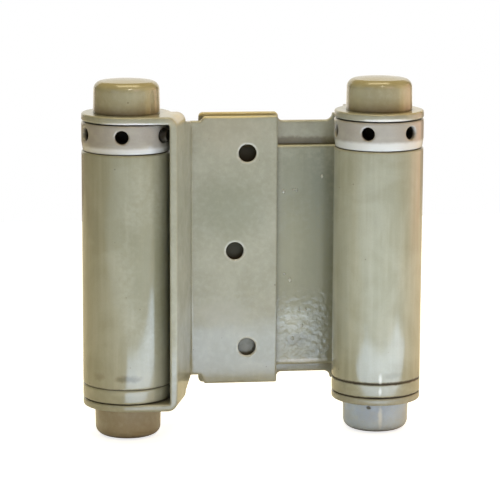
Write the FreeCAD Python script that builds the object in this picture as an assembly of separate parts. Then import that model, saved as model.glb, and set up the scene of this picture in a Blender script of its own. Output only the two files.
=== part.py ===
"""Double action spring hinge for a light swing door: two barrels on one web, two folded leaves.

Millimetres. +X runs along the web from the door barrel to the jamb barrel, +Y points into the jamb,
+Z is up. The origin lies on the jamb leaf's mounting face, halfway between its two outer screw holes.
"""

import FreeCAD
import Part
import math
import os

# Barrels and web, rolled from one sheet
axis_spacing = 70.0
barrel_diameter = 24.8
barrel_height = 65.0
web_sheet = 1.8
web_setback = 0.9
seam_gap = 0.4
barrel_edge_round = 0.4
web_edge_round = 0.7

# Leaf sheet and folds
leaf_sheet = 2.0
leaf_clearance = 0.3
fold_inner_radius = 0.6
edge_round = 0.45
plate_corner_radius = 1.2
plate_end_drop = 0.05
plate_width = 22.4
jamb_plate_margin = 0.6

# Door leaf
wall_slant_deg = 16.0
wall_clearance = 1.2
door_ear_root_back = 0.5
relief_width = 2.6
top_relief_depth = 1.2
bottom_relief_depth = 2.6
relief_blend = 1.1

# Jamb leaf
neck_length = 15.5
neck_step = 2.5
lug_inset = 1.4
ear_neck_inset = 4.4

# Ears
top_ear_play = 0.3
bottom_ear_play = 0.2

# Screw holes
screw_hole_diameter = 5.0
screw_head_diameter = 7.8
screw_head_depth = 1.4
screw_pitch = 27.7
outer_screw_to_free_edge = 8.5
middle_screw_to_free_edge = 12.0
hole_rim_round = 0.3

# Tension collars
collar_height = 7.8
collar_taper_height = 2.4
collar_taper_depth = 0.35
collar_top_round = 0.35
collar_gap = 0.25
bar_hole_count = 6
bar_hole_diameter = 3.7
bar_hole_depth = 5.0
bar_hole_from_top = 3.1
bar_hole_rim_round = 0.3
collar_spigot_length = 6.0
door_bar_hole_deg = -40.5
jamb_bar_hole_deg = 66.1

# Stop pins
stop_pin_diameter = 3.4
stop_pin_chamfer = 0.3
stop_contact_gap = 0.1
jamb_pin_recess = 0.4

# Bottom plugs
plug_flange_height = 3.95
plug_edge_round = 0.4
plug_spigot_length = 8.0

# Spindles and tips
spindle_diameter = 8.0
spindle_chamfer = 0.6
spindle_seat_clearance = 0.02
running_clearance = 0.08
tip_diameter = 18.4
tip_height = 9.2
tip_draft = 0.15
tip_edge_radius = 2.4
tip_crown = 0.5
tip_bore_depth = 6.0

# Torsion springs
spring_wire = 3.0
spring_clearance = 0.8
spring_turns = 10
spring_end_gap = 0.2
spring_tang_diameter = 2.4
spring_tang_length = 3.0
spring_tang_clearance = 0.1

# Levels, from the top ear down to the bottom ear
barrel_radius = barrel_diameter / 2
barrel_bore_radius = barrel_radius - web_sheet
ear_radius = barrel_radius
collar_radius = barrel_radius
lug_half_width = ear_radius - lug_inset
ear_neck_half_width = ear_radius - ear_neck_inset
spring_radius = barrel_bore_radius - spring_clearance - spring_wire / 2
stack_height = (2 * leaf_sheet + top_ear_play + collar_height + collar_gap + barrel_height
                + plug_flange_height + bottom_ear_play)
top_z = stack_height / 2
bottom_z = -top_z
fold_outer_radius = fold_inner_radius + leaf_sheet
fold_top_z = top_z - fold_outer_radius
plate_top_z = fold_top_z - plate_end_drop
collar_top_z = top_z - leaf_sheet - top_ear_play
collar_low_z = collar_top_z - collar_height
barrel_top_z = collar_low_z - collar_gap
barrel_low_z = barrel_top_z - barrel_height
bar_hole_z = collar_top_z - bar_hole_from_top

# Depths, from the jamb face towards the front
jamb_face_y = 0.0
jamb_front_y = jamb_face_y - leaf_sheet
web_back_y = jamb_front_y - leaf_clearance
web_front_y = web_back_y - web_sheet
door_back_y = web_front_y - leaf_clearance
door_front_y = door_back_y - leaf_sheet
axis_y = web_back_y - barrel_radius
ear_front_y = axis_y - ear_radius

# Places along the web
plate_left_x = -outer_screw_to_free_edge
plate_right_x = plate_left_x + plate_width
jamb_axis_x = plate_right_x + neck_length + lug_half_width
door_axis_x = jamb_axis_x - axis_spacing
door_axis = FreeCAD.Vector(door_axis_x, axis_y, 0)
jamb_axis = FreeCAD.Vector(jamb_axis_x, axis_y, 0)

# Door leaf wall, seen from above: its direction to the back and its normal towards the door
wall_angle = math.radians(wall_slant_deg)
wall_along = FreeCAD.Vector(math.sin(wall_angle), math.cos(wall_angle), 0)
wall_out = FreeCAD.Vector(math.cos(wall_angle), -math.sin(wall_angle), 0)
wall_inner_distance = barrel_radius + wall_clearance
wall_outer_distance = wall_inner_distance + leaf_sheet
door_free_x = plate_right_x - jamb_plate_margin

UP = FreeCAD.Vector(0, 0, 1)
THROUGH = 200.0


def point(x, y, z=0.0):
    """Return a vector."""
    return FreeCAD.Vector(x, y, z)


def rounded_outline(corners):
    """Return a closed wire through (vector, radius) corners, each rounded by its radius."""
    count = len(corners)
    starts = []
    ends = []
    middles = []
    for index in range(count):
        corner, radius = corners[index]
        before = (corners[index - 1][0] - corner).normalize()
        after = (corners[(index + 1) % count][0] - corner).normalize()
        if radius == 0:
            starts.append(corner)
            ends.append(corner)
            middles.append(None)
            continue
        half = before.getAngle(after) / 2
        reach = radius / math.tan(half)
        bisector = (before + after).normalize()
        starts.append(corner + before * reach)
        ends.append(corner + after * reach)
        middles.append(corner + bisector * (radius / math.sin(half) - radius))
    edges = []
    for index in range(count):
        if middles[index] is not None:
            edges.append(Part.Arc(starts[index], middles[index], ends[index]).toShape())
        following = starts[(index + 1) % count]
        if not ends[index].isEqual(following, 1e-7):
            edges.append(Part.LineSegment(ends[index], following).toShape())
    return Part.Wire(edges)


def prism(corners, direction):
    """Return the solid that the rounded outline sweeps along a direction."""
    return Part.Face(rounded_outline(corners)).extrude(direction)


def sharp(points):
    """Return corners without rounding."""
    return [(corner, 0) for corner in points]


def cylinder(radius, low_z, high_z, centre):
    """Return an upright cylinder between two levels."""
    base = point(centre.x, centre.y, low_z)
    return Part.makeCylinder(radius, high_z - low_z, base, UP)


def turned(profile, centre):
    """Return the solid of a closed (radius, z) profile, given as edges, turned about an upright axis."""
    face = Part.Face(Part.Wire(profile))
    solid = face.revolve(point(0, 0), UP, 360)
    return solid.translated(point(centre.x, centre.y))


def profile_line(start, end):
    """Return a straight edge of a turned profile."""
    return Part.LineSegment(point(start[0], 0, start[1]), point(end[0], 0, end[1])).toShape()


def profile_corners(corners):
    """Return the edges of a turned profile through (radius, z, rounding) corners."""
    return rounded_outline([(point(r, 0, z), rounding) for r, z, rounding in corners]).Edges


def on_wall(distance, y):
    """Return the place on the wall's plane at a distance from the door axis and a depth y."""
    x = door_axis_x + (distance + (y - axis_y) * math.sin(wall_angle)) / math.cos(wall_angle)
    return point(x, y)


def normal_at(face, place):
    """Return a face's outward normal at a place on it."""
    u, v = face.Surface.parameter(place)
    return face.normalAt(u, v)


def edge_middle(edge):
    """Return the place halfway along an edge."""
    return edge.valueAt((edge.FirstParameter + edge.LastParameter) / 2)


def cut_edges(shape):
    """Return the open edges of a sheet at which two faces meet at a clear angle."""
    found = []
    for edge in shape.Edges:
        if edge.isClosed() or edge.Degenerated:
            continue
        owners = shape.ancestorsOfType(edge, Part.Face)
        normals = [normal_at(face, edge_middle(edge)) for face in owners]
        if len(normals) == 2 and normals[0].getAngle(normals[1]) > math.radians(20):
            found.append(edge)
    return found


def rolled_barrel(axis, side):
    """Return one barrel: a tube with a seam where its rolled end meets the web."""
    outer = cylinder(barrel_radius, barrel_low_z, barrel_top_z, axis)
    inner = cylinder(barrel_bore_radius, barrel_low_z, barrel_top_z, axis)
    ring = outer.cut(inner)
    seam_x = axis.x + side * barrel_radius
    slot = Part.makeBox(barrel_radius, seam_gap, THROUGH)
    slot.translate(point(min(axis.x, seam_x), web_front_y - seam_gap, -THROUGH / 2))
    return ring.cut(slot)


def barrel_web():
    """Return the sheet that is rolled into both barrels."""
    web_low_z = barrel_low_z + web_setback
    web_length = barrel_height - 2 * web_setback
    web = Part.makeBox(axis_spacing, web_sheet, web_length, point(door_axis_x, web_front_y, web_low_z))
    bores = [cylinder(barrel_bore_radius, barrel_low_z, barrel_top_z, axis) for axis in (door_axis, jamb_axis)]
    web = web.cut(bores[0]).cut(bores[1])
    left = rolled_barrel(door_axis, 1)
    right = rolled_barrel(jamb_axis, -1)
    sheet = web.fuse([left, right]).removeSplitter()
    barrel_middle_z = (barrel_top_z + barrel_low_z) / 2
    web_ends = []
    for edge in sheet.Edges:
        middle = edge_middle(edge)
        level = abs(middle.z - barrel_middle_z) - web_length / 2
        if edge.Length > axis_spacing / 2 and abs(level) < 1e-6 and abs(middle.y - web_front_y) < 1e-6:
            web_ends.append(edge)
    sheet = sheet.makeFillet(web_edge_round, web_ends)
    rims = []
    for edge in sheet.Edges:
        at_end = abs(abs(edge_middle(edge).z - barrel_middle_z) - barrel_height / 2) < 1e-6
        if at_end and hasattr(edge.Curve, "Radius") and abs(edge.Curve.Radius - barrel_radius) < 1e-6:
            rims.append(edge)
    return sheet.makeFillet(barrel_edge_round, rims)


def ear_plate(axis, tab_points, low_z):
    """Return the flat part of an ear: a disc round the spindle and the tab that joins it to its fold."""
    disc = cylinder(ear_radius, low_z, low_z + leaf_sheet, axis)
    lifted = [corner + point(0, 0, low_z) for corner in tab_points]
    tab = prism(sharp(lifted), UP * leaf_sheet)
    return disc.fuse(tab).removeSplitter()


def fold_section(origin, inward, outer_z, side, leg):
    """Return the face of a fold between an upright wall and an ear.

    origin lies on the wall's inner face, inward points to the ear, side is 1 for the top ear and -1
    for the bottom ear, and leg is the straight length beyond the curve on the wall and on the ear.
    """
    inner = fold_inner_radius
    sheet = leaf_sheet

    def place(across, drop):
        return origin + inward * across + UP * (outer_z - side * drop)

    corners = [
        (place(-sheet, sheet + inner + leg), 0),
        (place(-sheet, 0), fold_outer_radius),
        (place(inner + leg, 0), 0),
        (place(inner + leg, sheet), 0),
        (place(0, sheet), inner),
        (place(0, sheet + inner + leg), 0),
    ]
    return Part.Face(rounded_outline(corners))


def screw_places(free_edge_x, toward_fold):
    """Return the three screw hole centres of a plate as (x, z)."""
    outer_x = free_edge_x + toward_fold * outer_screw_to_free_edge
    middle_x = free_edge_x + toward_fold * middle_screw_to_free_edge
    return [(outer_x, screw_pitch), (middle_x, 0.0), (outer_x, -screw_pitch)]


def screw_hole(x, z, outer_y, inner_y):
    """Return the tool for one screw hole: straight on the seat side, with the head's cone on the web side."""
    depth = abs(inner_y - outer_y)
    hole = screw_hole_diameter / 2
    head = screw_head_diameter / 2
    overrun = leaf_clearance / 2
    tool = turned(profile_corners([
        (0, -overrun, 0),
        (hole, -overrun, 0),
        (hole, depth - screw_head_depth, 0),
        (head, depth, 0),
        (head, depth + overrun, 0),
        (0, depth + overrun, 0),
    ]), point(0, 0))
    into_plate = 1 if inner_y > outer_y else -1
    tool.rotate(point(0, 0), point(1, 0, 0), -90 * into_plate)
    return tool.translated(point(x, outer_y, z))


def door_leaf_sheet():
    """Return the door leaf's plate and wall over the full height, folded as seen from above."""
    plan = [
        (point(door_free_x, door_front_y, bottom_z), 0),
        (on_wall(wall_outer_distance, door_front_y) + UP * bottom_z, fold_inner_radius),
        (on_wall(wall_outer_distance, ear_front_y) + UP * bottom_z, 0),
        (on_wall(wall_inner_distance, ear_front_y) + UP * bottom_z, 0),
        (on_wall(wall_inner_distance, door_back_y) + UP * bottom_z, fold_outer_radius),
        (point(door_free_x, door_back_y, bottom_z), 0),
    ]
    return prism(plan, UP * stack_height)


def door_leaf_trim(side, relief_depth):
    """Return what is cut from the door leaf's sheet beside the ear, at the top (1) or the bottom (-1)."""
    outer_z = side * (top_z + edge_round)
    fold_z = side * fold_top_z
    plate_z = side * plate_top_z
    relief_z = plate_z - side * relief_depth
    crease = on_wall(wall_outer_distance, door_front_y)
    root_y = axis_y + door_ear_root_back
    wall_left_x = on_wall(wall_inner_distance, ear_front_y).x - leaf_sheet
    relief_end_x = crease.x + relief_width
    relief_middle_x = relief_end_x - relief_blend
    behind_y = door_back_y + leaf_clearance / 2
    slope_end_y = door_front_y - fold_inner_radius
    beside_ear = prism(sharp([
        point(wall_left_x, root_y, outer_z),
        point(wall_left_x, root_y, fold_z),
        point(wall_left_x, slope_end_y, relief_z),
        point(wall_left_x, behind_y, relief_z),
        point(wall_left_x, behind_y, outer_z),
    ]), point(relief_middle_x - wall_left_x, 0, 0))
    free_end_x = door_free_x + edge_round
    plate_front_y = door_front_y - edge_round
    blend_x = relief_end_x + relief_blend
    above_plate = prism([
        (point(relief_middle_x, plate_front_y, outer_z), 0),
        (point(relief_middle_x, plate_front_y, relief_z), 0),
        (point(relief_end_x, plate_front_y, relief_z), relief_blend / 2),
        (point(blend_x, plate_front_y, plate_z), relief_blend / 2),
        (point(free_end_x, plate_front_y, plate_z), 0),
        (point(free_end_x, plate_front_y, outer_z), 0),
    ], point(0, behind_y - plate_front_y, 0))
    return beside_ear.fuse(above_plate)


def door_ear(side):
    """Return the door leaf's top (1) or bottom (-1) ear with its fold."""
    outer_z = side * top_z
    low_z = min(outer_z, outer_z - side * leaf_sheet)
    root_y = axis_y + door_ear_root_back
    join_distance = wall_inner_distance - fold_inner_radius
    tab = [
        point(door_axis_x, ear_front_y),
        on_wall(join_distance, ear_front_y),
        on_wall(join_distance, root_y),
        point(door_axis_x, root_y),
    ]
    plate = ear_plate(door_axis, tab, low_z)
    start = on_wall(wall_inner_distance, ear_front_y) - wall_along * fold_outer_radius
    end = on_wall(wall_inner_distance, root_y) + wall_along * fold_outer_radius
    fold = fold_section(start, wall_out * -1, outer_z, side, fold_inner_radius).extrude(end - start)
    kept = Part.makeBox(axis_spacing, root_y - ear_front_y, THROUGH)
    kept.translate(point(door_axis_x, ear_front_y, -THROUGH / 2))
    return plate.fuse(fold.common(kept)).removeSplitter()


def door_leaf():
    """Return the door leaf, folded from one sheet."""
    sheet = door_leaf_sheet()
    corner = fold_outer_radius
    wall_top = Part.makeBox(axis_spacing, THROUGH, corner)
    for side, relief_depth in ((1, top_relief_depth), (-1, bottom_relief_depth)):
        sheet = sheet.cut(door_leaf_trim(side, relief_depth))
        low_z = top_z - corner if side > 0 else bottom_z
        above_fold = wall_top.translated(point(door_axis_x, axis_y - THROUGH / 2, low_z))
        sheet = sheet.cut(above_fold)
    leaf = sheet.fuse([door_ear(1), door_ear(-1)]).removeSplitter()
    root_y = axis_y + door_ear_root_back
    rounded = []
    for edge in cut_edges(leaf):
        middle = edge_middle(edge)
        in_corner = abs(middle.y - root_y) < 1e-6 and abs(abs(middle.z) - fold_top_z) < 1e-6
        if not in_corner:
            rounded.append(edge)
    leaf = leaf.makeFillet(edge_round, rounded)
    leaf = leaf.cut(cylinder(spindle_diameter / 2 + spindle_seat_clearance, bottom_z, top_z, door_axis))
    for x, z in screw_places(door_free_x, -1):
        leaf = leaf.cut(screw_hole(x, z, door_front_y, door_back_y))
    rims = []
    for edge in leaf.Edges:
        closed = edge.isClosed() and not edge.Degenerated
        if closed and abs(edge_middle(edge).y - door_front_y) < 1e-6:
            rims.append(edge)
    return leaf.makeFillet(hole_rim_round, rims)


def stop_pin_flank_x(y):
    """Return where the jamb stop pin's flank passes a depth y, from the jamb axis."""
    turn = math.radians(jamb_bar_hole_deg)
    radius = stop_pin_diameter / 2
    run = (y - axis_y - radius * math.cos(turn)) / math.sin(turn)
    return run * math.cos(turn) - radius * math.sin(turn)


def jamb_leaf_blank():
    """Return the jamb leaf's flat plate, neck and lugs."""
    lug_left_x = jamb_axis_x - lug_half_width
    lug_right_x = jamb_axis_x + stop_pin_flank_x(jamb_front_y) - stop_contact_gap
    half = plate_top_z + jamb_plate_margin
    neck = half - neck_step
    corner = plate_corner_radius
    step = neck_step / 2
    upper = [
        (plate_left_x, half, corner),
        (plate_right_x, half, step),
        (plate_right_x, neck, step),
        (lug_left_x, neck, fold_top_z - neck),
        (lug_left_x, fold_top_z, 0),
        (lug_right_x, fold_top_z, 0),
    ]
    lower = [(x, -z, radius) for x, z, radius in reversed(upper)]
    corners = [(point(x, jamb_front_y, z), radius) for x, z, radius in upper + lower]
    return prism(corners, point(0, leaf_sheet, 0)), lug_right_x


def jamb_ear(side, lug_right_x):
    """Return the jamb leaf's top (1) or bottom (-1) ear with its fold."""
    outer_z = side * top_z
    low_z = min(outer_z, outer_z - side * leaf_sheet)
    join_y = jamb_front_y - fold_inner_radius
    neck_left_x = jamb_axis_x - ear_neck_half_width
    tab = [
        point(neck_left_x, axis_y),
        point(lug_right_x, axis_y),
        point(lug_right_x, join_y),
        point(neck_left_x, join_y),
    ]
    behind = Part.makeBox(THROUGH, THROUGH, THROUGH)
    behind.translate(point(jamb_axis_x - THROUGH / 2, join_y, -THROUGH / 2))
    plate = ear_plate(jamb_axis, tab, low_z).cut(behind)
    section = fold_section(point(neck_left_x, jamb_front_y), point(0, -1), outer_z, side, fold_inner_radius)
    fold = section.extrude(point(lug_right_x - neck_left_x, 0, 0))
    return plate.fuse(fold).removeSplitter()


def jamb_leaf():
    """Return the jamb leaf, folded from one sheet."""
    blank, lug_right_x = jamb_leaf_blank()
    ears = [jamb_ear(side, lug_right_x) for side in (1, -1)]
    leaf = blank.fuse(ears).removeSplitter()
    root_y = jamb_front_y - fold_inner_radius
    roots = [point(jamb_axis_x - ear_neck_half_width, root_y), point(lug_right_x, root_y)]
    rounded = []
    for edge in cut_edges(leaf):
        middle = edge_middle(edge)
        beyond_fold = abs(middle.z) > fold_top_z - edge_round
        at_root = min((point(middle.x, middle.y) - root).Length for root in roots) < 2 * fold_outer_radius
        if not (beyond_fold and at_root):
            rounded.append(edge)
    leaf = leaf.makeFillet(edge_round, rounded)
    leaf = leaf.cut(cylinder(spindle_diameter / 2 + spindle_seat_clearance, bottom_z, top_z, jamb_axis))
    for x, z in screw_places(plate_left_x, 1):
        leaf = leaf.cut(screw_hole(x, z, jamb_face_y, jamb_front_y))
    return leaf.removeSplitter()


def radial(angle_deg):
    """Return the level direction at an angle from +X."""
    turn = math.radians(angle_deg)
    return point(math.cos(turn), math.sin(turn))


def spring_low_z():
    """Return the level of the wire's centre on the plug."""
    return barrel_low_z + plug_spigot_length + spring_end_gap + spring_wire / 2


def spring_high_z():
    """Return the level of the wire's centre under the collar."""
    return barrel_top_z + collar_gap - collar_spigot_length - spring_end_gap - spring_wire / 2


def tang_hole(axis, low_z, high_z):
    """Return the hole that takes a spring's tang."""
    centre = axis + radial(0) * spring_radius
    return cylinder(spring_tang_diameter / 2 + spring_tang_clearance, low_z, high_z, centre)


def tension_collar(axis, first_hole_deg):
    """Return a tension collar: drilled rim with a tapered foot, and a spigot that enters the barrel."""
    bore = spindle_diameter / 2 + running_clearance
    spigot = barrel_bore_radius - running_clearance
    spigot_low_z = collar_low_z - collar_spigot_length
    taper_z = collar_low_z + collar_taper_height
    foot = collar_radius - collar_taper_depth
    collar = turned(profile_corners([
        (bore, collar_top_z, 0),
        (collar_radius, collar_top_z, collar_top_round),
        (collar_radius, taper_z, collar_taper_height / 2),
        (foot, collar_low_z, 0),
        (spigot, collar_low_z, 0),
        (spigot, spigot_low_z, collar_top_round),
        (bore, spigot_low_z, 0),
    ]), axis)
    for index in range(bar_hole_count):
        outward = radial(first_hole_deg + index * 360 / bar_hole_count)
        start = axis + outward * (collar_radius - bar_hole_depth) + UP * bar_hole_z
        collar = collar.cut(Part.makeCylinder(bar_hole_diameter / 2, 2 * bar_hole_depth, start, outward))
    rims = []
    for edge in collar.Edges:
        middle = edge_middle(edge) - axis
        outside = math.hypot(middle.x, middle.y) > collar_radius - bar_hole_depth / 2
        if edge.isClosed() and outside and edge.BoundBox.ZLength > bar_hole_diameter / 2:
            rims.append(edge)
    collar = collar.makeFillet(bar_hole_rim_round, rims)
    return collar.cut(tang_hole(axis, spigot_low_z, spigot_low_z + spring_tang_length + spring_tang_clearance))


def stop_pin(axis, angle_deg, tip_radius):
    """Return a stop pin that lies in a bar hole and reaches out to tip_radius."""
    outward = radial(angle_deg)
    foot_radius = collar_radius - bar_hole_depth
    start = axis + outward * foot_radius + UP * bar_hole_z
    pin = Part.makeCylinder(stop_pin_diameter / 2, tip_radius - foot_radius, start, outward)
    rims = [edge for edge in pin.Edges if edge.isClosed()]
    return pin.makeChamfer(stop_pin_chamfer, rims)


def door_stop_pin():
    """Return the stop pin whose end bears on the door leaf's wall."""
    lean = math.radians(door_bar_hole_deg) + wall_angle
    room = wall_inner_distance - stop_contact_gap
    corner = stop_pin_diameter / 2 - stop_pin_chamfer
    reach = (room - abs(math.sin(lean)) * corner) / math.cos(lean)
    return stop_pin(door_axis, door_bar_hole_deg, reach)


def jamb_stop_pin():
    """Return the stop pin whose flank bears on the edge of the jamb leaf's lug."""
    turn = math.radians(jamb_bar_hole_deg)
    room = jamb_face_y - jamb_pin_recess - axis_y
    reach = (room - stop_pin_diameter / 2 * math.cos(turn)) / math.sin(turn)
    return stop_pin(jamb_axis, jamb_bar_hole_deg, reach)


def bottom_plug(axis):
    """Return a barrel's bottom plug: flange ring under the barrel and spigot inside it."""
    bore = spindle_diameter / 2 + running_clearance
    spigot = barrel_bore_radius - spindle_seat_clearance
    flange_low_z = barrel_low_z - plug_flange_height
    spigot_top_z = barrel_low_z + plug_spigot_length
    plug = turned(profile_corners([
        (bore, flange_low_z, 0),
        (barrel_radius, flange_low_z, plug_edge_round),
        (barrel_radius, barrel_low_z, plug_edge_round),
        (spigot, barrel_low_z, 0),
        (spigot, spigot_top_z, plug_edge_round),
        (bore, spigot_top_z, 0),
    ]), axis)
    return plug.cut(tang_hole(axis, spigot_top_z - spring_tang_length - spring_tang_clearance, spigot_top_z))


def spindle(axis):
    """Return the rod that both tips are pressed on."""
    reach = tip_bore_depth - spindle_seat_clearance
    rod = cylinder(spindle_diameter / 2, bottom_z - reach, top_z + reach, axis)
    rims = [edge for edge in rod.Edges if edge.isClosed()]
    return rod.makeChamfer(spindle_chamfer, rims)


def button_tip(axis, side):
    """Return the button tip on the top ear (1) or under the bottom ear (-1)."""
    base = tip_diameter / 2
    bore = spindle_diameter / 2 + spindle_seat_clearance
    shoulder = base - tip_draft
    crown_start = shoulder - tip_edge_radius
    crown_edge_z = tip_height - tip_crown
    bend = math.sqrt(0.5) * tip_edge_radius
    crown_radius = (crown_start ** 2 + tip_crown ** 2) / (2 * tip_crown)
    crown_centre_z = tip_height - crown_radius
    crown_turn = math.asin(crown_start / crown_radius) / 2
    edges = [
        profile_line((bore, 0), (base, 0)),
        profile_line((base, 0), (shoulder, crown_edge_z - tip_edge_radius)),
        Part.Arc(
            point(shoulder, 0, crown_edge_z - tip_edge_radius),
            point(crown_start + bend, 0, crown_edge_z - tip_edge_radius + bend),
            point(crown_start, 0, crown_edge_z),
        ).toShape(),
        Part.Arc(
            point(crown_start, 0, crown_edge_z),
            point(crown_radius * math.sin(crown_turn), 0, crown_centre_z + crown_radius * math.cos(crown_turn)),
            point(0, 0, tip_height),
        ).toShape(),
        profile_line((0, tip_height), (0, tip_bore_depth)),
        profile_line((0, tip_bore_depth), (bore, tip_bore_depth)),
        profile_line((bore, tip_bore_depth), (bore, 0)),
    ]
    tip = turned(edges, point(0, 0))
    if side < 0:
        tip.rotate(point(0, 0), point(1, 0, 0), 180)
    return tip.translated(point(axis.x, axis.y, side * top_z))


def torsion_spring(axis):
    """Return a torsion spring with a straight tang at each end, just short of the wire's cut ends."""
    low_z = spring_low_z()
    rise = spring_high_z() - low_z
    pitch = rise / spring_turns
    overrun_deg = math.degrees(spring_tang_diameter / spring_radius)
    overrun_turns = overrun_deg / 360
    path = Part.makeHelix(pitch, pitch * (spring_turns + 2 * overrun_turns), spring_radius)
    ring = Part.Wire(Part.makeCircle(spring_wire / 2, point(spring_radius, 0, 0), point(0, 1, 0)))
    coil = Part.Wire(path).makePipeShell([ring], True, True)
    coil.rotate(point(0, 0), UP, -overrun_deg)
    coil.translate(point(0, 0, -pitch * overrun_turns))
    tang_reach = spring_wire / 2 + spring_end_gap + spring_tang_length
    tang = spring_tang_diameter / 2
    ends = [
        Part.makeCylinder(tang, tang_reach, point(spring_radius, 0, 0), UP * -1),
        Part.makeCylinder(tang, tang_reach, point(spring_radius, 0, rise), UP),
    ]
    return coil.fuse(ends).translated(point(axis.x, axis.y, low_z))


def build():
    """Return every piece of the hinge by name."""
    pieces = {
        "barrel_web": barrel_web(),
        "door_leaf": door_leaf(),
        "jamb_leaf": jamb_leaf(),
        "door_stop_pin": door_stop_pin(),
        "jamb_stop_pin": jamb_stop_pin(),
        "door_collar": tension_collar(door_axis, door_bar_hole_deg),
        "jamb_collar": tension_collar(jamb_axis, jamb_bar_hole_deg),
    }
    for name, axis in (("door", door_axis), ("jamb", jamb_axis)):
        pieces[name + "_plug"] = bottom_plug(axis)
        pieces[name + "_spindle"] = spindle(axis)
        pieces[name + "_spring"] = torsion_spring(axis)
        pieces[name + "_top_tip"] = button_tip(axis, 1)
        pieces[name + "_bottom_tip"] = button_tip(axis, -1)
    return pieces


def main():
    """Write one STEP file per piece."""
    os.makedirs("parts", exist_ok=True)
    for name, shape in build().items():
        shape.exportStep(os.path.join("parts", name + ".step"))
        print(name, len(shape.Solids), shape.isValid(), round(shape.Volume, 2))


main()
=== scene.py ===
"""Looks of the double action cafe hinge: enamel, steel, soft daylight and the view of the photo.

The shapes come from the CAD frame. This script gives every node its finish, adds the paint beads that
stand on the web, and sets the floor, the light and the camera. Lengths are metres unless a name says mm.
"""

import logging
import math
from dataclasses import dataclass, field
from enum import Enum
from typing import Mapping, Sequence, Union

import bmesh
import bpy
from mathutils import Matrix, Vector


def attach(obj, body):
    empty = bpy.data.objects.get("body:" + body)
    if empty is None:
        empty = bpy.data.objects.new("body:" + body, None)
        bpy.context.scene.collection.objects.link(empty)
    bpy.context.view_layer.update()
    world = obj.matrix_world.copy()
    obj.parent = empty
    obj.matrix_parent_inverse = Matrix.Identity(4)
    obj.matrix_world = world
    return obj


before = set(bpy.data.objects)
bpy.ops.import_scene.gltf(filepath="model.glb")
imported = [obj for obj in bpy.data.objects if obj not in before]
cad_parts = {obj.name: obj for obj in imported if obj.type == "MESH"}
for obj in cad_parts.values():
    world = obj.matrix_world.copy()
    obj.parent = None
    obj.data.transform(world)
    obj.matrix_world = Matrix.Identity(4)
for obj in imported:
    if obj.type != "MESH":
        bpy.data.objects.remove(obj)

LOG = logging.getLogger("hinge")
MM = 0.001
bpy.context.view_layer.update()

Rgba = tuple[float, float, float, float]
SocketValue = Union[float, Sequence[float], bpy.types.NodeSocket]


class Grain(Enum):
    """Which way the faint streaks of a finish run."""

    EVEN = (1.0, 1.0, 1.0)
    UPRIGHT = (1.0, 1.0, 0.06)
    LEVEL = (0.08, 1.0, 1.0)


class Slot(Enum):
    """Material slots of the record; nothing in this script assigns them."""

    ENAMEL = "prime_enamel"


def srgb(code: str) -> Rgba:
    """Convert an sRGB hex colour to linear light.

    Args:
        code: colour as "#RRGGBB".

    Returns:
        Linear red, green, blue and an alpha of one.
    """
    parts = []
    for start in (1, 3, 5):
        value = int(code[start:start + 2], 16) / 255
        parts.append(value / 12.92 if value <= 0.04045 else ((value + 0.055) / 1.055) ** 2.4)
    return (parts[0], parts[1], parts[2], 1.0)


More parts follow.
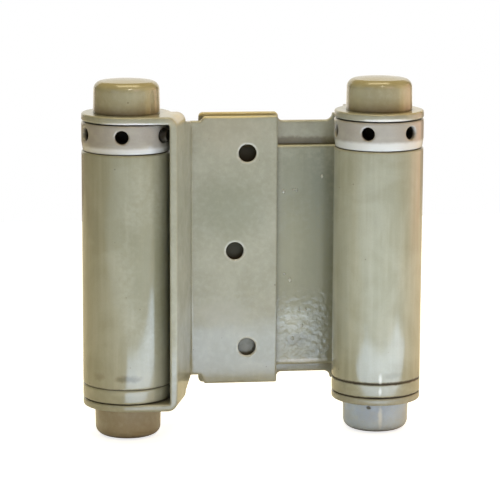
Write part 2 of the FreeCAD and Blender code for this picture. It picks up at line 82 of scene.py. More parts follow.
class NodeGraph:
    """A shader node tree that is filled one node at a time."""

    def __init__(self, tree: bpy.types.NodeTree) -> None:
        """Clear the tree.

        Args:
            tree: the node tree of a material or a world.
        """
        self.tree = tree
        self.tree.nodes.clear()

    def add(self, kind: str, settings: Mapping[str, object] | None = None,
            inputs: Mapping[str | int, SocketValue] | None = None) -> bpy.types.Node:
        """Add a node with its settings and links.

        Args:
            kind: Blender's name of the node type.
            settings: properties of the node.
            inputs: for each input, a socket to link or a constant.

        Returns:
            The new node.
        """
        node = self.tree.nodes.new(kind)
        for name, value in (settings or {}).items():
            setattr(node, name, value)
        for name, value in (inputs or {}).items():
            if isinstance(value, bpy.types.NodeSocket):
                self.tree.links.new(value, node.inputs[name])
            else:
                node.inputs[name].default_value = value
        return node

    def millimetres(self, stretch: Sequence[float] = (1.0, 1.0, 1.0)) -> bpy.types.NodeSocket:
        """Add object coordinates in millimetres.

        Args:
            stretch: factor along each axis, below one draws the pattern out.

        Returns:
            The vector socket.
        """
        coords = self.add("ShaderNodeTexCoord")
        scale = tuple(value / MM for value in stretch)
        mapping = self.add("ShaderNodeMapping", None, {"Vector": coords.outputs["Object"], "Scale": scale})
        return mapping.outputs["Vector"]

    def noise(self, vector: bpy.types.NodeSocket, size_mm: float, detail: float = 3.0,
              distortion: float = 0.0) -> bpy.types.NodeSocket:
        """Add noise whose patches have a real size.

        Args:
            vector: coordinates in millimetres.
            size_mm: breadth of one patch.
            detail: number of finer octaves.
            distortion: how far the patches are bent.

        Returns:
            A value from zero to one.
        """
        node = self.add("ShaderNodeTexNoise", None, {
            "Vector": vector, "Scale": 1 / size_mm, "Detail": detail, "Distortion": distortion})
        return node.outputs["Fac"]

    def between(self, value: bpy.types.NodeSocket, low: float, high: float,
                to_low: float = 0.0, to_high: float = 1.0) -> bpy.types.NodeSocket:
        """Add a soft step.

        Args:
            value: what is mapped.
            low: where the step starts.
            high: where the step ends.
            to_low: result below the step.
            to_high: result above the step.

        Returns:
            The stepped value.
        """
        node = self.add("ShaderNodeMapRange", {"interpolation_type": "SMOOTHSTEP"}, {
            "Value": value, "From Min": low, "From Max": high, "To Min": to_low, "To Max": to_high})
        return node.outputs["Result"]

    def math(self, operation: str, first: SocketValue, second: SocketValue = 0.0) -> bpy.types.NodeSocket:
        """Combine two values.

        Args:
            operation: Blender's name of the operation.
            first: first value.
            second: second value.

        Returns:
            The result.
        """
        return self.add("ShaderNodeMath", {"operation": operation}, {0: first, 1: second}).outputs[0]

    def mix(self, factor: SocketValue, first: SocketValue, second: SocketValue,
            blend: str = "MIX") -> bpy.types.NodeSocket:
        """Add a mix of two colours.

        Args:
            factor: share of the second colour.
            first: first colour.
            second: second colour.
            blend: Blender's name of the way they are mixed.

        Returns:
            The mixed colour.
        """
        node = self.add("ShaderNodeMix", {"data_type": "RGBA", "blend_type": blend}, {
            0: factor, 6: first, 7: second})
        return node.outputs[2]


@dataclass(frozen=True)
class StainAndPaintedLight:
    """A soft patch of colour at one place: a stain, or painted shade, highlight or reflection.

    Attributes:
        centre_mm: its middle in the shared frame.
        radii_mm: its half size along each axis.
        colour: what it tints towards.
        strength: how much of the tint shows.
        core: share of the half size up to which the tint is full.
        ragged: how much its border wanders.
        matt: whether the skin loses its gloss there.
    """

    centre_mm: tuple[float, float, float]
    radii_mm: tuple[float, float, float]
    colour: str
    strength: float
    core: float = 0.2
    ragged: float = 0.15
    matt: bool = False


@dataclass(frozen=True)
class EnamelFinish:
    """Baked prime enamel on steel.

    Attributes:
        name: name of the material.
        tone: main colour.
        shade: colour of the darker drifts.
        edge: colour where the coat is thin on an edge.
        grime_and_shade: colour of the dark nibs, and of the shade painted into the crevices.
        grain: which way the streaks run.
        peel: depth of the orange peel as a share of the usual one.
        gloss: roughness of the clear skin.
        roll_mm: radius of the roll that the paint forms along an edge.
        pooled_mm: depth y behind which the coat dried in lumps, or nothing.
        stains_and_painted_light: stains of this piece, and the shade, highlights and reflections painted on
            it.
    """

    name: str
    tone: str = "#A6A490"
    shade: str = "#98967F"
    edge: str = "#CDC8B5"
    grime_and_shade: str = "#3F3424"
    grain: Grain = Grain.EVEN
    peel: float = 1.0
    gloss: float = 0.11
    roll_mm: float = 0.9
    pooled_mm: float | None = None
    stains_and_painted_light: tuple[StainAndPaintedLight, ...] = ()

    def build(self) -> bpy.types.Material:
        """Make the material.

        Returns:
            The enamel.
        """
        material = bpy.data.materials.new(self.name)
        material.use_nodes = True
        graph = NodeGraph(material.node_tree)
        place = graph.millimetres()
        colour, dull = self.lay_stains_and_painted_light(graph, place, self.coat_colour(graph, place))
        colour = self.edges_and_painted_crevice_shade(graph, colour)
        # The skin is glossy over a slightly dull body, so windows show in it with firm edges
        rough = graph.between(graph.noise(place, 5.0), 0.3, 0.7, 0.30, 0.40)
        skin = graph.math("SUBTRACT", 1.0, dull)
        # Paint draws back into a roll along every edge, and the roll catches the light
        roll = graph.add("ShaderNodeBevel", {"samples": 6}, {
            "Radius": self.roll_mm * MM, "Normal": self.peel_normal(graph, place)}).outputs["Normal"]
        shader = graph.add("ShaderNodeBsdfPrincipled", None, {
            "Base Color": colour, "Roughness": rough, "IOR": 1.5, "Coat Weight": skin,
            "Specular IOR Level": graph.math("MULTIPLY", skin, 0.5), "Coat Roughness": self.gloss,
            "Coat IOR": 1.55, "Normal": roll, "Coat Normal": roll})
        graph.add("ShaderNodeOutputMaterial", None, {"Surface": shader.outputs["BSDF"]})
        return material

    def coat_colour(self, graph: NodeGraph, place: bpy.types.NodeSocket) -> bpy.types.NodeSocket:
        """Mix the colour of the coat.

        Args:
            graph: the material's nodes.
            place: coordinates in millimetres.

        Returns:
            The colour with drifts, streaks and specks.
        """
        drift = graph.between(graph.noise(place, 13.0, 4.0, 0.6), 0.35, 0.66)
        colour = graph.mix(drift, srgb(self.shade), srgb(self.tone))
        # Streaks from the dip, barely seen
        streaked = graph.millimetres(self.grain.value)
        streak = graph.between(graph.noise(streaked, 1.6, 3.0), 0.4, 0.75, 0.0, 0.16)
        colour = graph.mix(streak, colour, srgb(self.edge))
        # Pigment grain and a few dark nibs give the coat its tooth close up
        grain = graph.between(graph.noise(place, 0.35, 2.0), 0.35, 0.65, -0.02, 0.02)
        lift = graph.math("ADD", grain, 1.0)
        colour = graph.mix(1.0, colour, graph.add("ShaderNodeCombineXYZ", None, {
            0: lift, 1: lift, 2: lift}).outputs[0], "MULTIPLY")
        nibs = graph.add("ShaderNodeTexVoronoi", None, {"Vector": place, "Scale": 1 / 5.5, "Randomness": 1.0})
        nib = graph.between(nibs.outputs["Distance"], 0.025, 0.05, 0.55, 0.0)
        colour = graph.mix(nib, colour, srgb(self.grime_and_shade))
        return colour

    def lay_stains_and_painted_light(self, graph: NodeGraph, place: bpy.types.NodeSocket,
                colour: bpy.types.NodeSocket) -> tuple[bpy.types.NodeSocket, SocketValue]:
        """Lay the stains and the painted light and shade over the colour.

        Args:
            graph: the material's nodes.
            place: coordinates in millimetres.
            colour: colour so far.

        Returns:
            The colour with its stains and painted light and shade, and how far the skin has lost its gloss.
        """
        dull: SocketValue = 0.0
        for tint_patch in self.stains_and_painted_light:
            mask = self.tint_patch_mask(graph, place, tint_patch)
            colour = graph.mix(mask, colour, srgb(tint_patch.colour))
            if tint_patch.matt:
                dull = graph.math("MAXIMUM", mask, dull)
        return colour, dull

    @staticmethod
    def tint_patch_mask(graph: NodeGraph, place: bpy.types.NodeSocket, tint_patch: StainAndPaintedLight) -> bpy.types.NodeSocket:
        """Make the mask of one patch of stain or painted light.

        Args:
            graph: the material's nodes.
            place: coordinates in millimetres.
            tint_patch: the stain, painted shade, highlight or reflection.

        Returns:
            How much of the patch shows.
        """
        offset = graph.add("ShaderNodeVectorMath", {"operation": "SUBTRACT"}, {0: place, 1: tint_patch.centre_mm})
        scaled = graph.add("ShaderNodeVectorMath", {"operation": "DIVIDE"}, {
            0: offset.outputs[0], 1: tint_patch.radii_mm})
        reach = graph.add("ShaderNodeVectorMath", {"operation": "LENGTH"}, {0: scaled.outputs[0]})
        wander = graph.between(graph.noise(place, 1.2), 0.2, 0.8, -tint_patch.ragged, tint_patch.ragged)
        border = graph.math("ADD", reach.outputs["Value"], wander)
        return graph.between(border, tint_patch.core, 1.0, tint_patch.strength, 0.0)

    def edges_and_painted_crevice_shade(self, graph: NodeGraph, colour: bpy.types.NodeSocket) -> bpy.types.NodeSocket:
        """Pale the edges and paint shade into the crevices.

        Args:
            graph: the material's nodes.
            colour: colour so far.

        Returns:
            The colour with thin edges and painted crevice shade.
        """
        bevel = graph.add("ShaderNodeBevel", {"samples": 4}, {"Radius": 0.5 * MM})
        normal = graph.add("ShaderNodeNewGeometry").outputs["Normal"]
        facing = graph.add("ShaderNodeVectorMath", {"operation": "DOT_PRODUCT"}, {
            0: bevel.outputs["Normal"], 1: normal}).outputs["Value"]
        thin = graph.between(facing, 0.80, 0.97, 0.3, 0.0)
        colour = graph.mix(thin, colour, srgb(self.edge))
        # Painted shade: where ambient occlusion finds a hollow within 2 mm, the colour darkens towards the
        # crevice colour
        hollow = graph.add("ShaderNodeAmbientOcclusion", {"samples": 6}, {"Distance": 2.0 * MM})
        painted_crevice_shade = graph.between(hollow.outputs["AO"], 0.28, 0.82, 0.85, 0.0)
        return graph.mix(painted_crevice_shade, colour, srgb(self.grime_and_shade))

    def peel_normal(self, graph: NodeGraph, place: bpy.types.NodeSocket) -> bpy.types.NodeSocket:
        """Make the orange peel and the long waves of the coat.

        Args:
            graph: the material's nodes.
            place: coordinates in millimetres.

        Returns:
            The normal.
        """
        # Fine peel breaks highlights up, the slow wave bends the edges of reflections
        fine = graph.add("ShaderNodeBump", None, {
            "Strength": 0.35 * self.peel, "Distance": 0.012 * MM, "Height": graph.noise(place, 0.9, 2.0)})
        slow = graph.add("ShaderNodeBump", None, {
            "Strength": 0.5 * self.peel, "Distance": 0.09 * MM, "Height": graph.noise(place, 7.0, 1.0),
            "Normal": fine.outputs["Normal"]})
        if self.pooled_mm is None:
            return slow.outputs["Normal"]
        # Lumps where the dip pooled low down, they scatter the window into small bright flecks
        spot = graph.add("ShaderNodeSeparateXYZ", None, {0: place})
        pooled = graph.between(spot.outputs[1], self.pooled_mm - 2.0, self.pooled_mm, 0.0, 1.0)
        pooled = graph.math("MULTIPLY", pooled, graph.between(spot.outputs[2], -22.0, -6.0, 1.0, 0.1))
        lumps = graph.add("ShaderNodeBump", None, {
            "Strength": pooled, "Distance": 0.2 * MM, "Height": graph.noise(place, 1.5, 3.0),
            "Normal": slow.outputs["Normal"]})
        return lumps.outputs["Normal"]


@dataclass(frozen=True)
class SteelFinish:
    """Bare steel.

    Attributes:
        name: name of the material.
        tone: colour of the metal.
        stain: colour of oil and scale.
        roughness: how dull it is.
        grain: which way the drawing marks run.
    """

    name: str
    tone: str
    stain: str
    roughness: float
    grain: Grain = Grain.EVEN

    def build(self) -> bpy.types.Material:
        """Make the material.

        Returns:
            The steel.
        """
        material = bpy.data.materials.new(self.name)
        material.use_nodes = True
        graph = NodeGraph(material.node_tree)
        place = graph.millimetres()
        drawn = graph.millimetres(self.grain.value)
        # Oil and scale lie in patches, drawing marks run along the piece
        patch = graph.between(graph.noise(place, 4.0, 4.0), 0.4, 0.7)
        colour = graph.mix(patch, srgb(self.tone), srgb(self.stain))
        marks = graph.noise(drawn, 0.25, 3.0)
        rough = graph.between(marks, 0.3, 0.7, self.roughness * 0.85, self.roughness * 1.2)
        bump = graph.add("ShaderNodeBump", None, {"Strength": 0.3, "Distance": 0.01 * MM, "Height": marks})
        shader = graph.add("ShaderNodeBsdfPrincipled", None, {
            "Base Color": colour, "Metallic": 1.0, "Roughness": rough, "Normal": bump.outputs["Normal"]})
        graph.add("ShaderNodeOutputMaterial", None, {"Surface": shader.outputs["BSDF"]})
        return material


Finish = Union[EnamelFinish, SteelFinish]

# Upright streaks from the dip and soiled joint lines. Painted shade beside the wall, on the web towards the
# right barrel and in the screw holes. Flecks low on the web, from lumps and from painted highlights, a
# painted highlight along the web's lower edge and a painted glint low on the right barrel
BARREL_ENAMEL = EnamelFinish(
    name="Prime enamel, dipped, on rolled sheet", grain=Grain.UPRIGHT, pooled_mm=-4.5,
    stains_and_painted_light=(
        StainAndPaintedLight((-30.4, -27.0, -31.4), (5.2, 4.0, 1.5), "#5E5940", 0.75),
        StainAndPaintedLight((-38.2, -23.5, -31.2), (2.2, 4.0, 1.6), "#6E6648", 0.4),
        StainAndPaintedLight((-29.6, -14.7, -34.6), (40.0, 30.0, 0.55), "#33271C", 0.6, 0.5),
        StainAndPaintedLight((40.4, -14.7, -34.6), (25.0, 30.0, 0.75), "#2C2118", 0.85, 0.5),
        StainAndPaintedLight((43.0, -27.0, -32.4), (4.5, 4.0, 1.5), "#7A7A62", 0.45),
        # Painted shade: the web darker towards the right barrel and over its middle
        StainAndPaintedLight((26.0, -4.1, 0.0), (8.5, 2.5, 60.0), "#676A5B", 0.5),
        StainAndPaintedLight((20.0, -4.1, 6.0), (14.0, 2.5, 40.0), "#7C7F6E", 0.45, 0.4),
        StainAndPaintedLight((20.0, -4.1, -10.0), (14.0, 2.5, 34.0), "#8F8A66", 0.45, 0.3),
        StainAndPaintedLight((19.5, -4.1, -26.5), (5.0, 2.5, 3.0), "#65624C", 0.5),
        # Painted highlights: pale flecks low on the web
        StainAndPaintedLight((18.5, -4.1, -21.0), (7.0, 2.5, 5.5), "#E0E1D4", 0.32, 0.0, 0.5),
        # Painted highlight along the web's lower edge
        StainAndPaintedLight((21.0, -4.1, -32.5), (9.0, 1.6, 0.9), "#DAD8D4", 0.8, 0.3),
        # Painted shade on the left barrel's right side, next to the wall
        StainAndPaintedLight((-24.0, -26.0, 0.0), (11.0, 11.0, 34.0), "#7B795C", 0.55),
        # Painted glint: a pale streak low on the right barrel, in line with those on the ring and the jamb
        # foot
        StainAndPaintedLight((39.6, -27.1, -33.2), (0.7, 2.0, 2.2), "#ECECE6", 0.7),
        # Painted shade in the door leaf's screw holes: the web behind them dark and matt, the lowest one only
        # greyed
        StainAndPaintedLight((4.8, -4.1, 27.7), (4.4, 2.0, 4.4), "#2A231B", 0.95, 0.65, 0.1, True),
        StainAndPaintedLight((1.3, -4.1, 0.0), (4.4, 2.0, 4.4), "#2A261E", 0.9, 0.65, 0.1, True),
        StainAndPaintedLight((4.8, -4.1, -27.7), (4.4, 2.0, 4.4), "#77746E", 0.6, 0.65, 0.1, True),
    ))
# Painted highlights: a pale line on the ear's lower edge, pale rims round the holes, golden top edges and a
# golden fold. Painted light and shade across the plate: lighter at the top, darker in the middle, and a
# painted reflection low down
DOOR_LEAF_ENAMEL = EnamelFinish(
    name="Prime enamel, dipped, on folded sheet", tone="#A6A492", shade="#999782",
    stains_and_painted_light=(
        # Painted highlight: a pale line along the ear's lower front edge
        StainAndPaintedLight((-29.6, -27.1, 38.8), (11.5, 6.0, 0.75), "#ECEAEE", 0.85, 0.4, 0.05),
        # Painted light: the plate's upper part lighter
        StainAndPaintedLight((0.0, -6.4, 34.0), (15.0, 2.0, 9.0), "#B6AC98", 0.35, 0.3),
        # Painted highlights: golden light along the plate's top edge and on the ear's fold
        StainAndPaintedLight((0.0, -5.5, 38.4), (20.0, 3.0, 1.1), "#E3D296", 0.8, 0.5, 0.05),
        StainAndPaintedLight((-17.0, -17.0, 39.4), (6.0, 14.0, 2.4), "#E6D3A4", 0.7, 0.3, 0.05),
        # Painted highlights: pale rims round the three screw holes
        StainAndPaintedLight((4.8, -6.4, 27.7), (3.3, 2.0, 3.3), "#DEDCD3", 0.6, 0.8, 0.05),
        StainAndPaintedLight((1.3, -6.4, 0.0), (3.3, 2.0, 3.3), "#DEDCD3", 0.6, 0.8, 0.05),
        StainAndPaintedLight((4.8, -6.4, -27.7), (3.3, 2.0, 3.3), "#DEDCD3", 0.6, 0.8, 0.05),
        # Painted shade: the plate darker across its middle
        StainAndPaintedLight((0.0, -6.4, 12.0), (15.0, 2.0, 13.0), "#83866F", 0.45),
        # Painted reflection: the plate lighter low down
        StainAndPaintedLight((-2.0, -6.4, -17.0), (13.0, 2.0, 7.0), "#BBBBB2", 0.4),
    ))
# Painted shadow: a brown strip along the neck under the web's top edge. Painted highlights: a pale line on
# the ear's lower edge, golden top edges and a golden ear top
JAMB_LEAF_ENAMEL = EnamelFinish(
    name="Prime enamel, dipped, on pressed sheet", tone="#A3A191", shade="#95927F",
    stains_and_painted_light=(
        # Painted shadow: a brown strip on the neck under the web's top edge
        StainAndPaintedLight((20.0, -2.0, 30.4), (16.0, 1.5, 1.7), "#5C4C33", 0.65, 0.4),
        # Painted highlight: a pale line along the ear's lower front edge
        StainAndPaintedLight((41.0, -27.1, 38.9), (10.0, 6.0, 0.9), "#ECE9E4", 0.85, 0.4, 0.05),
        # Painted highlights: golden light along the plate's top edge and on the ear's top
        StainAndPaintedLight((2.0, -0.6, 38.3), (24.0, 3.0, 1.0), "#E3D296", 0.8, 0.5, 0.05),
        StainAndPaintedLight((44.0, -16.0, 40.75), (13.0, 14.0, 0.7), "#DCC690", 0.85),
    ))
# Painted reflection of the floor: a pale band low on each collar. Painted shade: the bar holes black and matt
COLLAR_ENAMEL = EnamelFinish(
    name="Prime enamel, brushed, on turned collar", grain=Grain.LEVEL, tone="#AEA8A1", shade="#A19A92",
    stains_and_painted_light=(
        # Painted reflection of the floor: a pale band low on each collar
        StainAndPaintedLight((-29.6, -14.7, 30.4), (34.0, 80.0, 2.3), "#D6D5D5", 0.95, 0.6, 0.03),
        StainAndPaintedLight((40.4, -14.7, 30.7), (34.0, 80.0, 2.8), "#D8D7D5", 0.95, 0.6, 0.03),
        # Painted shade: inside the collar, the bar holes black and matt
        StainAndPaintedLight((-29.6, -14.7, 35.35), (11.9, 11.9, 40.0), "#14110D", 0.97, 0.93, 0.0, True),
        StainAndPaintedLight((40.4, -14.7, 35.35), (11.9, 11.9, 40.0), "#14110D", 0.97, 0.93, 0.0, True),
    ))
# Dark lines above and below each ring, so it reads as a piece of its own
PLUG_ENAMEL = EnamelFinish(
    name="Prime enamel, dipped, on turned ring", grain=Grain.LEVEL,
    stains_and_painted_light=(
        # Painted glint: a short pale streak on the ring's front
        StainAndPaintedLight((39.6, -27.1, -36.6), (0.7, 2.0, 1.6), "#ECECE6", 0.6),
        StainAndPaintedLight((40.4, -14.7, -34.6), (25.0, 30.0, 0.6), "#2C2118", 0.85, 0.5),
        StainAndPaintedLight((40.4, -14.7, -38.6), (25.0, 30.0, 0.6), "#2C2118", 0.85, 0.5),
        StainAndPaintedLight((-29.6, -14.7, -38.6), (25.0, 30.0, 0.45), "#33271C", 0.6, 0.5),
    ))
# Glossier, with a painted reflection that turns each top golden, and brown at the foot
TOP_TIP_ENAMEL = EnamelFinish(
    name="Prime enamel, dipped, on top button", tone="#B3AF96", shade="#A39C80", peel=0.6, gloss=0.03,
    stains_and_painted_light=(
        # Painted reflection: the tops tinted dark gold
        StainAndPaintedLight((-29.6, -14.7, 50.5), (40.0, 40.0, 5.0), "#93834C", 0.7, 0.15, 0.03),
        StainAndPaintedLight((40.4, -14.7, 50.5), (40.0, 40.0, 5.0), "#93834C", 0.6, 0.15, 0.03),
        StainAndPaintedLight((-29.6, -14.7, 40.75), (30.0, 30.0, 3.2), "#6A5638", 0.7, 0.1, 0.05),
        StainAndPaintedLight((40.4, -14.7, 40.75), (30.0, 30.0, 3.2), "#6A5638", 0.7, 0.1, 0.05),
    ))
# Browner than the other pieces: the same enamel given a painted reflection of the brown ground below
DOOR_FOOT_ENAMEL = EnamelFinish(
    name="Prime enamel, dipped, on door foot button", tone="#A99D8A", shade="#968872", peel=0.8)
# Bluer than the other pieces, a painted reflection of the pale page in front; with one dark chip, and a
# painted highlight as a pale streak
JAMB_FOOT_ENAMEL = EnamelFinish(
    name="Prime enamel, dipped, on jamb foot button", tone="#C4D8F6", shade="#AFC1DE", peel=0.8,
    stains_and_painted_light=(
        StainAndPaintedLight((37.1, -22.8, -42.0), (0.8, 1.5, 0.7), "#2A2622", 0.95, 0.55, 0.3),
        # Painted glint: a pale upright streak on the front of the button
        StainAndPaintedLight((40.3, -23.8, -45.0), (0.9, 2.0, 4.5), "#F2F6FC", 0.7),
    ))
# Pale glossy drops, each with a point of light; their near-white colour is a painted highlight
BEAD_HIGHLIGHT_ENAMEL = EnamelFinish(
    name="Prime enamel, dried drops", tone="#E2E0D6", shade="#D2D0C4", grime_and_shade="#A5A491", gloss=0.05)
# Bare steels: a dark pin end, bright rods and oily wire
PIN_STEEL = SteelFinish("Carbon steel, blackened", "#5E5A53", "#3A342C", 0.45, Grain.LEVEL)
ROD_STEEL = SteelFinish("Carbon steel, drawn bright", "#B9B6AE", "#8C8678", 0.28, Grain.UPRIGHT)
WIRE_STEEL = SteelFinish("Spring steel, oil tempered", "#6E675B", "#3F382E", 0.4)


def shade_smooth(piece: bpy.types.Object, angle_deg: float = 28.0) -> None:
    """Shade a mesh smooth, with sharp edges kept.

    Args:
        piece: the mesh object.
        angle_deg: faces that meet at more than this stay sharp.
    """
    mesh = piece.data
    mesh.polygons.foreach_set("use_smooth", [True] * len(mesh.polygons))
    mesh.set_sharp_from_angle(angle=math.radians(angle_deg))


@dataclass
class SubAssembly:
    """CAD nodes that share one finish.

    Attributes:
        nodes: names of the CAD nodes.
        finish: their finish.
    """

    nodes: tuple[str, ...]
    finish: Finish

    def dress(self) -> None:
        """Give every node the finish."""
        material = self.finish.build()
        for name in self.nodes:
            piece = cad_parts[name]
            piece.data.materials.clear()
            piece.data.materials.append(material)
        LOG.info("%s on %s", material.name, ", ".join(self.nodes))


@dataclass
class RolledBarrels(SubAssembly):
    """The sheet that is rolled into both barrels."""

    nodes: tuple[str, ...] = ("barrel_web",)
    finish: Finish = BARREL_ENAMEL


@dataclass
class DoorLeaf(SubAssembly):
    """The front leaf."""

    nodes: tuple[str, ...] = ("door_leaf",)
    finish: Finish = DOOR_LEAF_ENAMEL


@dataclass
class JambLeaf(SubAssembly):
    """The rear leaf."""

    nodes: tuple[str, ...] = ("jamb_leaf",)
    finish: Finish = JAMB_LEAF_ENAMEL


@dataclass
class TensionCollars(SubAssembly):
    """Both drilled collars."""

    nodes: tuple[str, ...] = ("door_collar", "jamb_collar")
    finish: Finish = COLLAR_ENAMEL


@dataclass
class BottomPlugs(SubAssembly):
    """Both rings under the barrels."""

    nodes: tuple[str, ...] = ("door_plug", "jamb_plug")
    finish: Finish = PLUG_ENAMEL


@dataclass
class StopPins(SubAssembly):
    """Both stop pins."""

    nodes: tuple[str, ...] = ("door_stop_pin", "jamb_stop_pin")
    finish: Finish = PIN_STEEL


@dataclass
class Spindles(SubAssembly):
    """Both spindles."""

    nodes: tuple[str, ...] = ("door_spindle", "jamb_spindle")
    finish: Finish = ROD_STEEL


@dataclass
class Springs(SubAssembly):
    """Both torsion springs."""

    nodes: tuple[str, ...] = ("door_spring", "jamb_spring")
    finish: Finish = WIRE_STEEL


@dataclass
class TopTips(SubAssembly):
    """Both buttons on the top ears."""

    nodes: tuple[str, ...] = ("door_top_tip", "jamb_top_tip")
    finish: Finish = TOP_TIP_ENAMEL


@dataclass
class DoorFootTip(SubAssembly):
    """The button under the door leaf."""

    nodes: tuple[str, ...] = ("door_bottom_tip",)
    finish: Finish = DOOR_FOOT_ENAMEL


@dataclass
class JambFootTip(SubAssembly):
    """The button under the jamb leaf."""

    nodes: tuple[str, ...] = ("jamb_bottom_tip",)
    finish: Finish = JAMB_FOOT_ENAMEL


@dataclass
class PaintBeads:
    """Small drops of enamel that dried on the web.

    Attributes:
        places_mm: x and z of each drop on the web's front.
        size_mm: half width, standing height and half length of a drop.
        web_front_mm: y of the web's front.
        smallest: scale of the smallest drop.
        growth: how much each next drop is larger, up to the fourth.
    """

    places_mm: tuple[tuple[float, float], ...] = (
        (15.1, -17.7), (19.9, -17.6), (21.8, -17.8), (17.3, -9.0), (15.7, -7.2), (20.9, -22.3), (18.2, -26.0),
        (15.3, 16.4), (18.2, 16.9), (19.0, 16.7), (26.2, 20.5))
    size_mm: tuple[float, float, float] = (0.32, 0.16, 0.55)
    web_front_mm: float = -4.1
    smallest: float = 0.75
    growth: float = 0.15

    def build(self) -> bpy.types.Object:
        """Make the drops as one mesh that rides on the web.

        Returns:
            The mesh object.
        """
        shape = bmesh.new()
        width, height, length = self.size_mm
        for index, (x, z) in enumerate(self.places_mm):
            grow = self.smallest + self.growth * (index % 4)
            scale = Matrix.Diagonal((width * grow * MM, height * MM, length * grow * MM, 1.0))
            spot = Matrix.Translation(Vector((x, self.web_front_mm, z)) * MM)
            bmesh.ops.create_uvsphere(shape, u_segments=16, v_segments=10, radius=1.0, matrix=spot @ scale)
        mesh = bpy.data.meshes.new("web_paint_beads")
        shape.to_mesh(mesh)
        shape.free()
        mesh.polygons.foreach_set("use_smooth", [True] * len(mesh.polygons))
        # The drops' near-white colour is a painted highlight
        mesh.materials.append(BEAD_HIGHLIGHT_ENAMEL.build())
        piece = bpy.data.objects.new("web_paint_beads", mesh)
        bpy.context.scene.collection.objects.link(piece)
        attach(piece, "barrel_web")
        return piece


@dataclass
class SoftLight:
    """A rectangular soft light.

    Attributes:
        name: its name.
        centre_mm: where it hangs.
        target_mm: where it points.
        size_mm: width and height.
        brightness: radiance, where one is a white page in full light.
        colour: colour of the light.
    """

    name: str
    centre_mm: tuple[float, float, float]
    target_mm: tuple[float, float, float]
    size_mm: tuple[float, float]
    brightness: float
    colour: str

    def build(self) -> bpy.types.Object:
        """Hang the light.

        Returns:
            The light object.
        """
        data = bpy.data.lights.new(self.name, "AREA")
        data.shape = "RECTANGLE"
        data.size = self.size_mm[0] * MM
        data.size_y = self.size_mm[1] * MM
        data.energy = self.brightness * math.pi * data.size * data.size_y
        data.color = srgb(self.colour)[:3]
        light = bpy.data.objects.new(self.name, data)
        light.location = Vector(self.centre_mm) * MM
        toward = Vector(self.target_mm) - Vector(self.centre_mm)
        light.rotation_euler = toward.to_track_quat("-Z", "Y").to_euler()
        light.visible_camera = False
        bpy.context.scene.collection.objects.link(light)
        return light


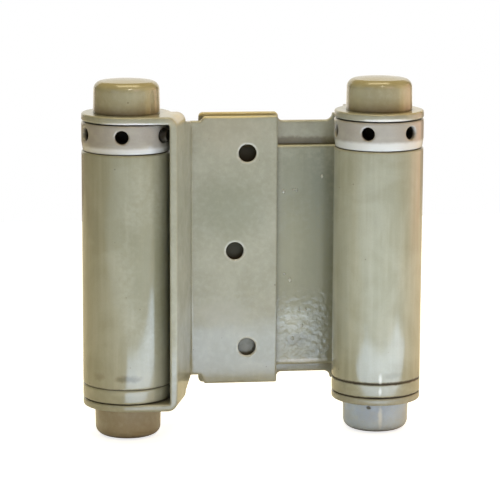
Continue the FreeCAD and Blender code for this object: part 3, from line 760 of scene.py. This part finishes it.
@dataclass
class Studio:
    """Floor, surroundings and lights.

    Attributes:
        floor_mm: level of the floor.
        floor_half_mm: half the side of the floor.
        floor_colour: colour of the sheet on it.
        fibre_colour: colour of the sheet's fibres.
        floor_lift: light the sheet adds for the camera.
        zenith: colour overhead.
        horizon: colour of the room at eye level.
        ground: colour below eye level, past the floor.
        room_light: strength of the surroundings.
        lights: the soft lights.
    """

    floor_mm: float = -49.95
    floor_half_mm: float = 330.0
    floor_colour: str = "#F7F6F3"
    fibre_colour: str = "#E6E2DA"
    floor_lift: float = 0.8
    zenith: str = "#B4A67A"
    horizon: str = "#2B3A3A"
    ground: str = "#A3927A"
    room_light: float = 1.0
    lights: tuple[SoftLight, ...] = field(default_factory=lambda: (
        SoftLight("key_window", (480.0, -760.0, 420.0), (5.0, -14.0, 0.0), (420.0, 420.0), 1.0, "#FFCCDA"),
        SoftLight("fill_wall", (-620.0, -620.0, 260.0), (5.0, -14.0, 0.0), (500.0, 500.0), 0.43, "#7FC0FF"),
        SoftLight("page_on_table", (55.0, -95.0, -48.5), (55.0, -95.0, 500.0), (190.0, 70.0), 4.3, "#C9E2FF"),
        SoftLight("table_front", (0.0, -450.0, -48.5), (0.0, -450.0, 500.0), (700.0, 560.0), 0.9, "#CBE6F4"),
        SoftLight("right_wood", (340.0, 60.0, 20.0), (5.0, -14.0, 0.0), (260.0, 300.0), 1.0, "#FFC6A3"),
        SoftLight("right_window", (620.0, -160.0, 200.0), (5.0, -14.0, 0.0), (300.0, 500.0), 0.8, "#FFD580"),
        SoftLight("backdrop", (0.0, 600.0, 160.0), (0.0, -14.0, 40.0), (900.0, 420.0), 0.9, "#F4F0E8"),
        SoftLight("roof_window", (0.0, -20.0, 650.0), (0.0, -10.0, 0.0), (480.0, 240.0), 5.0, "#FFF0C4"),
        SoftLight("lamp", (60.0, -520.0, 520.0), (5.0, -14.0, 0.0), (170.0, 50.0), 15.0, "#FFF6E4"),
    ))

    def build(self) -> None:
        """Set the floor, the surroundings and the lights."""
        self.build_floor()
        self.build_world()
        for light in self.lights:
            light.build()

    def build_floor(self) -> bpy.types.Object:
        """Lay the pale floor.

        Returns:
            The floor object.
        """
        half = self.floor_half_mm * MM
        shape = bmesh.new()
        bmesh.ops.create_grid(shape, x_segments=1, y_segments=1, size=half)
        mesh = bpy.data.meshes.new("floor")
        shape.to_mesh(mesh)
        shape.free()
        floor = bpy.data.objects.new("floor", mesh)
        floor.location = (0.0, 0.0, self.floor_mm * MM)
        bpy.context.scene.collection.objects.link(floor)
        material = bpy.data.materials.new("Paper, matt white")
        material.use_nodes = True
        graph = NodeGraph(material.node_tree)
        place = graph.millimetres()
        fibre = graph.between(graph.noise(place, 1.5, 3.0), 0.3, 0.7, 0.0, 0.03)
        colour = graph.mix(fibre, srgb(self.floor_colour), srgb(self.fibre_colour))
        shader = graph.add("ShaderNodeBsdfPrincipled", None, {"Base Color": colour, "Roughness": 0.9})
        # The page is a little brighter to the camera, so it runs into the white ground and keeps its shadows
        seen = graph.add("ShaderNodeLightPath").outputs["Is Camera Ray"]
        lift = graph.add("ShaderNodeEmission", None, {
            "Color": (1.0, 1.0, 1.0, 1.0), "Strength": graph.math("MULTIPLY", seen, self.floor_lift)})
        both = graph.add("ShaderNodeAddShader", None, {0: shader.outputs["BSDF"], 1: lift.outputs[0]})
        graph.add("ShaderNodeOutputMaterial", None, {"Surface": both.outputs[0]})
        mesh.materials.append(material)
        return floor

    def build_world(self) -> None:
        """Give the room a warm gradient, and the camera a white ground."""
        world = bpy.data.worlds.new("room")
        bpy.context.scene.world = world
        world.use_nodes = True
        graph = NodeGraph(world.node_tree)
        coords = graph.add("ShaderNodeTexCoord")
        height = graph.add("ShaderNodeSeparateXYZ", None, {0: coords.outputs["Generated"]}).outputs[2]
        above = graph.between(height, 0.02, 0.75)
        below = graph.between(height, -0.12, 0.06, 1.0, 0.0)
        colour = graph.mix(above, srgb(self.horizon), srgb(self.zenith))
        colour = graph.mix(below, colour, srgb(self.ground))
        room = graph.add("ShaderNodeBackground", None, {"Color": colour, "Strength": self.room_light})
        white = graph.add("ShaderNodeBackground", None, {"Color": (1.0, 1.0, 1.0, 1.0), "Strength": 1.0})
        path = graph.add("ShaderNodeLightPath")
        both = graph.add("ShaderNodeMixShader", None, {
            0: path.outputs["Is Camera Ray"], 1: room.outputs[0], 2: white.outputs[0]})
        graph.add("ShaderNodeOutputWorld", None, {"Surface": both.outputs[0]})


@dataclass
class PhotoCamera:
    """The camera that took the photo.

    Attributes:
        target_mm: the place at the middle of the picture.
        distance_mm: distance from there.
        azimuth_deg: turn about the upright axis.
        elevation_deg: height above the horizon.
        roll_deg: turn about the line of sight.
        lens_mm: focal length.
        sensor_mm: width of the sensor.
        near_mm: nearest distance that is drawn.
    """

    target_mm: tuple[float, float, float] = (4.558, -14.7, 1.772)
    distance_mm: float = 688.1
    azimuth_deg: float = -6.996
    elevation_deg: float = 10.608
    roll_deg: float = 0.234
    lens_mm: float = 178.29
    sensor_mm: float = 36.0
    near_mm: float = 10.0

    def build(self) -> bpy.types.Object:
        """Set the camera.

        Returns:
            The camera object.
        """
        turn = math.radians(self.azimuth_deg)
        lift = math.radians(self.elevation_deg)
        roll = math.radians(self.roll_deg)
        sight = Vector((-math.sin(turn) * math.cos(lift), math.cos(turn) * math.cos(lift), -math.sin(lift)))
        level = Vector((math.cos(turn), math.sin(turn), 0.0))
        upward = level.cross(sight)
        right = level * math.cos(roll) + upward * math.sin(roll)
        top = upward * math.cos(roll) - level * math.sin(roll)
        data = bpy.data.cameras.new("photo_camera")
        data.sensor_width = self.sensor_mm
        data.sensor_fit = "HORIZONTAL"
        data.lens = self.lens_mm
        data.clip_start = self.near_mm * MM
        camera = bpy.data.objects.new("photo_camera", data)
        place = (Vector(self.target_mm) - sight * self.distance_mm) * MM
        turned = Matrix((right, top, -sight)).transposed().to_4x4()
        camera.matrix_world = Matrix.Translation(place) @ turned
        bpy.context.scene.collection.objects.link(camera)
        bpy.context.scene.camera = camera
        return camera


def main() -> None:
    """Dress the hinge, light it and set the camera."""
    logging.basicConfig(level=logging.INFO, format="%(message)s")
    bpy.context.scene.view_settings.view_transform = "Standard"
    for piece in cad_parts.values():
        shade_smooth(piece)
    assemblies = (RolledBarrels(), DoorLeaf(), JambLeaf(), TensionCollars(), BottomPlugs(), StopPins(),
                  Spindles(), Springs(), TopTips(), DoorFootTip(), JambFootTip())
    for assembly in assemblies:
        assembly.dress()
    PaintBeads().build()
    Studio().build()
    PhotoCamera().build()


if __name__ == "__main__":
    main()
